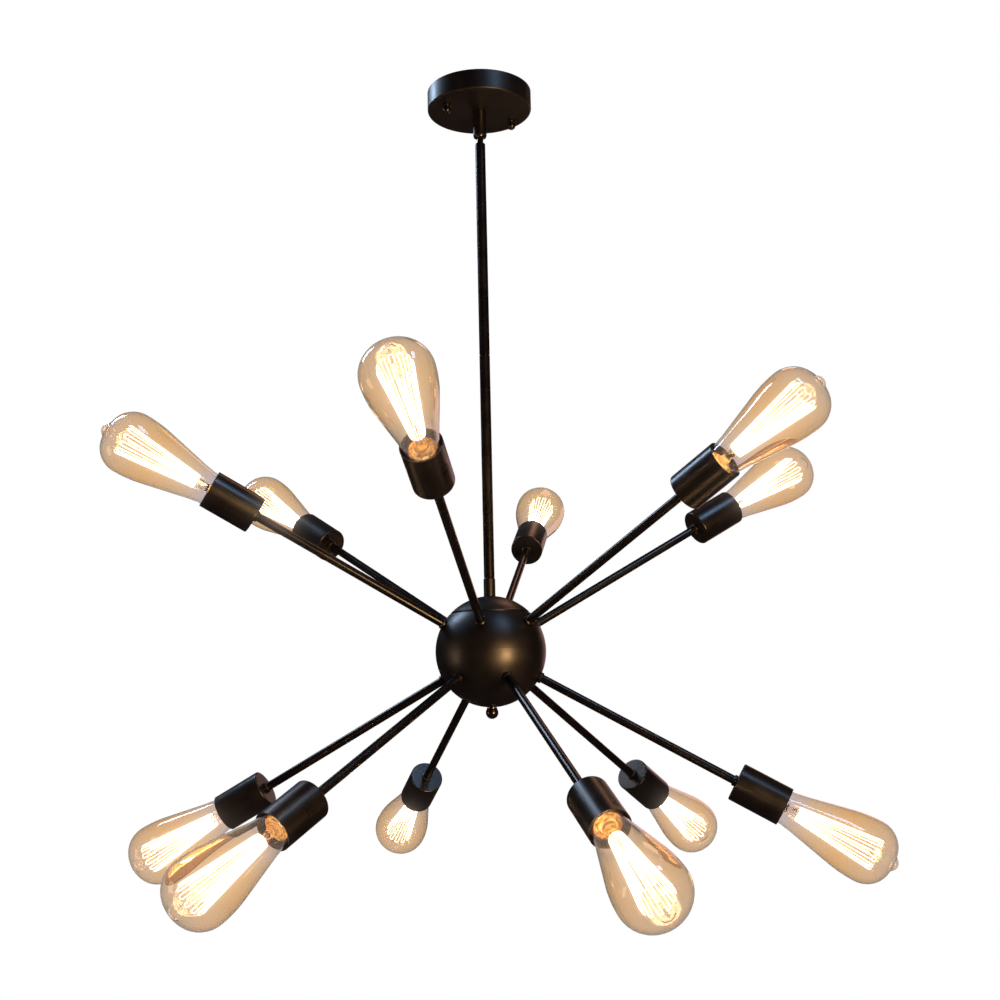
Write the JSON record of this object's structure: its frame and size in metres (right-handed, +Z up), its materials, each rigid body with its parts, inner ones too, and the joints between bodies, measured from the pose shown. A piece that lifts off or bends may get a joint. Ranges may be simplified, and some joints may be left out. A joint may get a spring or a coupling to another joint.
{
  "type": "sputnik chandelier",
  "caption": "Ceiling pendant with a drop rod, a round hub and slanted radial arms, each ending in a socket cup with a pear-shaped filament bulb.",
  "frame": {"origin": "middle of the ceiling strap's upper face, which is the ceiling plane, on the rod's axis", "axes": "+Z up through the ceiling, +X along the ceiling strap's screw slots, the camera of the picture on the -Y side"},
  "size_m": [0.7844, 0.7844, 0.8613],
  "materials": {
    "black_metal": "satin powder coat",
    "gloss_black": "gloss black enamel",
    "zinc_steel": "bright zinc plate",
    "ground_green": "green lacquer",
    "brass": "plain brass",
    "black_insulator": "moulded phenolic",
    "connector_plastic": "moulded thermoplastic",
    "wire_insulation": "smooth silicone insulation",
    "amber_glass": "clear amber tint"
  },
  "bodies": {
    "ceiling_mount": {"ceiling_strap": "zinc_steel", "strap_eyelet": "zinc_steel"},
    "canopy": {"canopy_strap": "zinc_steel", "canopy_studs": "zinc_steel", "stud_lock_nuts": "zinc_steel", "ground_screw": "ground_green", "canopy": "black_metal", "canopy_cap_nuts": "gloss_black", "canopy_nipple": "zinc_steel", "canopy_washer": "zinc_steel", "canopy_nipple_nut": "zinc_steel", "supply_leads": "wire_insulation", "ground_wire": "wire_insulation", "wire_connectors": "connector_plastic"},
    "swivel_cup": {"swivel_cup": "black_metal"},
    "swivel_ball": {"swivel_ball": "gloss_black"},
    "fixture": {"upper_rod": "black_metal", "lower_rod": "black_metal", "rod_nipple": "zinc_steel", "rod_coupler": "black_metal", "hub_nipple": "zinc_steel", "hub_cap": "black_metal", "hub_shell": "black_metal", "hub_bracket": "zinc_steel", "finial": "gloss_black", "finial_nut": "zinc_steel", "terminal_blocks": "connector_plastic", "upper_arms": "black_metal", "lower_arms": "black_metal", "arm_collars": "black_metal", "pipe_nuts": "zinc_steel", "socket_bodies": "black_insulator", "socket_shells": "brass", "socket_contacts": "brass", "rod_wires": "wire_insulation", "lamp_wires": "wire_insulation", "socket_cup_upper_1": "black_metal", "socket_cup_upper_2": "black_metal", "socket_cup_upper_3": "black_metal", "socket_cup_upper_4": "black_metal", "socket_cup_upper_5": "black_metal", "socket_cup_upper_6": "black_metal", "socket_cup_lower_1": "black_metal", "socket_cup_lower_2": "black_metal", "socket_cup_lower_3": "black_metal", "socket_cup_lower_4": "black_metal", "socket_cup_lower_5": "black_metal", "socket_cup_lower_6": "black_metal"},
    "bulb_upper_1": {"bulb_upper_1": "amber_glass"},
    "bulb_upper_2": {"bulb_upper_2": "amber_glass"},
    "bulb_upper_3": {"bulb_upper_3": "amber_glass"},
    "bulb_upper_4": {"bulb_upper_4": "amber_glass"},
    "bulb_upper_5": {"bulb_upper_5": "amber_glass"},
    "bulb_upper_6": {"bulb_upper_6": "amber_glass"},
    "bulb_lower_1": {"bulb_lower_1": "amber_glass"},
    "bulb_lower_2": {"bulb_lower_2": "amber_glass"},
    "bulb_lower_3": {"bulb_lower_3": "amber_glass"},
    "bulb_lower_4": {"bulb_lower_4": "amber_glass"},
    "bulb_lower_5": {"bulb_lower_5": "amber_glass"},
    "bulb_lower_6": {"bulb_lower_6": "amber_glass"}
  },
  "joints": [
    {"name": "canopy_turn", "type": "hinge", "parent": "ceiling_mount", "child": "canopy", "pos_m": [0, 0, -0.0023], "axis": [0, 0, 1], "range_deg": [-13, 130]},
    {"name": "swivel_turn", "type": "hinge", "parent": "canopy", "child": "swivel_cup", "pos_m": [0, 0, -0.03], "axis": [0, 0, 1], "range_deg": [-175, 175]},
    {"name": "swivel_tilt", "type": "hinge", "parent": "swivel_cup", "child": "swivel_ball", "pos_m": [0, 0, -0.0495], "axis": [0, 1, 0], "range_deg": [-25, 25]},
    {"name": "rod_spin", "type": "hinge", "parent": "swivel_ball", "child": "fixture", "pos_m": [0, 0, -0.0495], "axis": [0, 0, 1], "range_deg": [-175, 175]},
    {"name": "bulb_unscrew_upper_1", "type": "slide", "parent": "fixture", "child": "bulb_upper_1", "axis": [0.827, 0.2847, 0.4848], "range_m": [0, 0.026]},
    {"name": "bulb_unscrew_upper_2", "type": "slide", "parent": "fixture", "child": "bulb_upper_2", "axis": [0.1669, 0.8586, 0.4848], "range_m": [0, 0.026]},
    {"name": "bulb_unscrew_upper_3", "type": "slide", "parent": "fixture", "child": "bulb_upper_3", "axis": [-0.6601, 0.5738, 0.4848], "range_m": [0, 0.026]},
    {"name": "bulb_unscrew_upper_4", "type": "slide", "parent": "fixture", "child": "bulb_upper_4", "axis": [-0.827, -0.2847, 0.4848], "range_m": [0, 0.026]},
    {"name": "bulb_unscrew_upper_5", "type": "slide", "parent": "fixture", "child": "bulb_upper_5", "axis": [-0.1669, -0.8586, 0.4848], "range_m": [0, 0.026]},
    {"name": "bulb_unscrew_upper_6", "type": "slide", "parent": "fixture", "child": "bulb_upper_6", "axis": [0.6601, -0.5738, 0.4848], "range_m": [0, 0.026]},
    {"name": "bulb_unscrew_lower_1", "type": "slide", "parent": "fixture", "child": "bulb_lower_1", "axis": [0.5738, 0.6601, -0.4848], "range_m": [0, 0.026]},
    {"name": "bulb_unscrew_lower_2", "type": "slide", "parent": "fixture", "child": "bulb_lower_2", "axis": [-0.2847, 0.827, -0.4848], "range_m": [0, 0.026]},
    {"name": "bulb_unscrew_lower_3", "type": "slide", "parent": "fixture", "child": "bulb_lower_3", "axis": [-0.8586, 0.1669, -0.4848], "range_m": [0, 0.026]},
    {"name": "bulb_unscrew_lower_4", "type": "slide", "parent": "fixture", "child": "bulb_lower_4", "axis": [-0.5738, -0.6601, -0.4848], "range_m": [0, 0.026]},
    {"name": "bulb_unscrew_lower_5", "type": "slide", "parent": "fixture", "child": "bulb_lower_5", "axis": [0.2847, -0.827, -0.4848], "range_m": [0, 0.026]},
    {"name": "bulb_unscrew_lower_6", "type": "slide", "parent": "fixture", "child": "bulb_lower_6", "axis": [0.8586, -0.1669, -0.4848], "range_m": [0, 0.026]}
  ]
}
